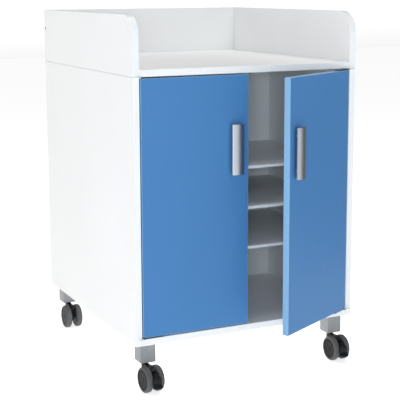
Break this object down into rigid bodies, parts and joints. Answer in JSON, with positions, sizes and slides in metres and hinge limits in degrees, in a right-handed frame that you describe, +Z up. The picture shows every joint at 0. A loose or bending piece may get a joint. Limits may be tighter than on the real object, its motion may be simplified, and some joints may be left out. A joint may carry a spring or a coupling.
{
  "type": "mobile ward cabinet",
  "caption": "Mobile ward cabinet on twin-wheel casters, with two inset doors, shelves inside and a raised three-sided gallery round its worktop.",
  "frame": {"origin": "on the floor, below the middle of the box round the cabinet with its right door standing open", "axes": "+Z up, front with the doors at -Y, right-hand door on +X"},
  "size_m": [0.7, 0.915, 1.045],
  "materials": {
    "white_board": "satin white melamine facing with matching edge band",
    "blue_board": "satin blue melamine facing with matching edge band",
    "satin_aluminium": "satin anodised",
    "zinc_steel": "zinc plated",
    "dark_hinge": "satin dark grey powder coat",
    "grey_block": "fine satin texture",
    "caster_plastic": "moulded, lightly textured",
    "wheel_tread": "soft grey-black tread"
  },
  "bodies": {
    "cabinet": {"base_panel": "white_board", "caster_block_front_left": "grey_block", "caster_block_front_right": "grey_block", "caster_block_rear_left": "grey_block", "caster_block_rear_right": "grey_block", "caster_stem_front_left": "zinc_steel", "caster_stem_front_right": "zinc_steel", "caster_stem_rear_left": "zinc_steel", "caster_stem_rear_right": "zinc_steel", "gallery_back": "white_board", "gallery_left": "white_board", "gallery_right": "white_board", "gallery_screw_left": "zinc_steel", "gallery_screw_right": "zinc_steel", "inner_back_panel": "white_board", "left_side_panel": "white_board", "pivot_pin_plate_left_bottom": "dark_hinge", "pivot_pin_plate_left_top": "dark_hinge", "pivot_pin_plate_right_bottom": "dark_hinge", "pivot_pin_plate_right_top": "dark_hinge", "right_side_panel": "white_board", "shelf_lower": "white_board", "shelf_middle": "white_board", "shelf_pin_lower_front_left": "zinc_steel", "shelf_pin_lower_front_right": "zinc_steel", "shelf_pin_lower_rear_left": "zinc_steel", "shelf_pin_lower_rear_right": "zinc_steel", "shelf_pin_middle_front_left": "zinc_steel", "shelf_pin_middle_front_right": "zinc_steel", "shelf_pin_middle_rear_left": "zinc_steel", "shelf_pin_middle_rear_right": "zinc_steel", "shelf_pin_upper_front_left": "zinc_steel", "shelf_pin_upper_front_right": "zinc_steel", "shelf_pin_upper_rear_left": "zinc_steel", "shelf_pin_upper_rear_right": "zinc_steel", "shelf_upper": "white_board", "worktop_panel": "white_board"},
    "left_door": {"left_door": "blue_board", "left_handle": "satin_aluminium", "pivot_door_plate_left_top": "dark_hinge", "pivot_door_plate_left_bottom": "dark_hinge"},
    "right_door": {"right_door": "blue_board", "right_handle": "satin_aluminium", "pivot_door_plate_right_top": "dark_hinge", "pivot_door_plate_right_bottom": "dark_hinge"},
    "caster_front_left": {"caster_hood_front_left": "caster_plastic"},
    "wheel_front_left_a": {"caster_wheel_front_left_a": "wheel_tread"},
    "wheel_front_left_b": {"caster_wheel_front_left_b": "wheel_tread"},
    "brake_front_left": {"brake_pedal_front_left": "caster_plastic"},
    "caster_front_right": {"caster_hood_front_right": "caster_plastic"},
    "wheel_front_right_a": {"caster_wheel_front_right_a": "wheel_tread"},
    "wheel_front_right_b": {"caster_wheel_front_right_b": "wheel_tread"},
    "brake_front_right": {"brake_pedal_front_right": "caster_plastic"},
    "caster_rear_left": {"caster_hood_rear_left": "caster_plastic"},
    "wheel_rear_left_a": {"caster_wheel_rear_left_a": "wheel_tread"},
    "wheel_rear_left_b": {"caster_wheel_rear_left_b": "wheel_tread"},
    "caster_rear_right": {"caster_hood_rear_right": "caster_plastic"},
    "wheel_rear_right_a": {"caster_wheel_rear_right_a": "wheel_tread"},
    "wheel_rear_right_b": {"caster_wheel_rear_right_b": "wheel_tread"}
  },
  "joints": [
    {"name": "left_door_hinge", "type": "hinge", "parent": "cabinet", "child": "left_door", "pos_m": [-0.339, -0.30051, 0.519], "axis": [0, 0, -1], "range_deg": [0, 110]},
    {"name": "right_door_hinge", "type": "hinge", "parent": "cabinet", "child": "right_door", "pos_m": [0.339, -0.30051, 0.519], "axis": [0, 0, 1], "range_deg": [-28.4, 81.6]},
    {"name": "caster_front_left_swivel", "type": "hinge", "parent": "cabinet", "child": "caster_front_left", "pos_m": [-0.306, -0.24951, 0.079], "axis": [0, 0, 1], "continuous": true},
    {"name": "wheel_front_left_a_spin", "type": "hinge", "parent": "caster_front_left", "child": "wheel_front_left_a", "pos_m": [-0.30352, -0.28492, 0.0365], "axis": [0.9976, 0.0698, 0], "continuous": true},
    {"name": "wheel_front_left_b_spin", "type": "hinge", "parent": "caster_front_left", "child": "wheel_front_left_b", "pos_m": [-0.30352, -0.28492, 0.0365], "axis": [0.9976, 0.0698, 0], "continuous": true},
    {"name": "brake_front_left_press", "type": "hinge", "parent": "caster_front_left", "child": "brake_front_left", "pos_m": [-0.30352, -0.28492, 0.0365], "axis": [0.9976, 0.0698, 0], "range_deg": [0, 12]},
    {"name": "caster_front_right_swivel", "type": "hinge", "parent": "cabinet", "child": "caster_front_right", "pos_m": [0.306, -0.24951, 0.079], "axis": [0, 0, 1], "continuous": true},
    {"name": "wheel_front_right_a_spin", "type": "hinge", "parent": "caster_front_right", "child": "wheel_front_right_a", "pos_m": [0.306, -0.28501, 0.0365], "axis": [1, 0, 0], "continuous": true},
    {"name": "wheel_front_right_b_spin", "type": "hinge", "parent": "caster_front_right", "child": "wheel_front_right_b", "pos_m": [0.306, -0.28501, 0.0365], "axis": [1, 0, 0], "continuous": true},
    {"name": "brake_front_right_press", "type": "hinge", "parent": "caster_front_right", "child": "brake_front_right", "pos_m": [0.306, -0.28501, 0.0365], "axis": [1, 0, 0], "range_deg": [0, 12]},
    {"name": "caster_rear_left_swivel", "type": "hinge", "parent": "cabinet", "child": "caster_rear_left", "pos_m": [-0.306, 0.41449, 0.079], "axis": [0, 0, 1], "continuous": true},
    {"name": "wheel_rear_left_a_spin", "type": "hinge", "parent": "caster_rear_left", "child": "wheel_rear_left_a", "pos_m": [-0.30662, 0.37899, 0.0365], "axis": [0.9998, -0.0175, 0], "continuous": true},
    {"name": "wheel_rear_left_b_spin", "type": "hinge", "parent": "caster_rear_left", "child": "wheel_rear_left_b", "pos_m": [-0.30662, 0.37899, 0.0365], "axis": [0.9998, -0.0175, 0], "continuous": true},
    {"name": "caster_rear_right_swivel", "type": "hinge", "parent": "cabinet", "child": "caster_rear_right", "pos_m": [0.306, 0.41449, 0.079], "axis": [0, 0, 1], "continuous": true},
    {"name": "wheel_rear_right_a_spin", "type": "hinge", "parent": "caster_rear_right", "child": "wheel_rear_right_a", "pos_m": [0.30786, 0.37904, 0.0365], "axis": [0.9986, 0.0523, 0], "continuous": true},
    {"name": "wheel_rear_right_b_spin", "type": "hinge", "parent": "caster_rear_right", "child": "wheel_rear_right_b", "pos_m": [0.30786, 0.37904, 0.0365], "axis": [0.9986, 0.0523, 0], "continuous": true}
  ]
}
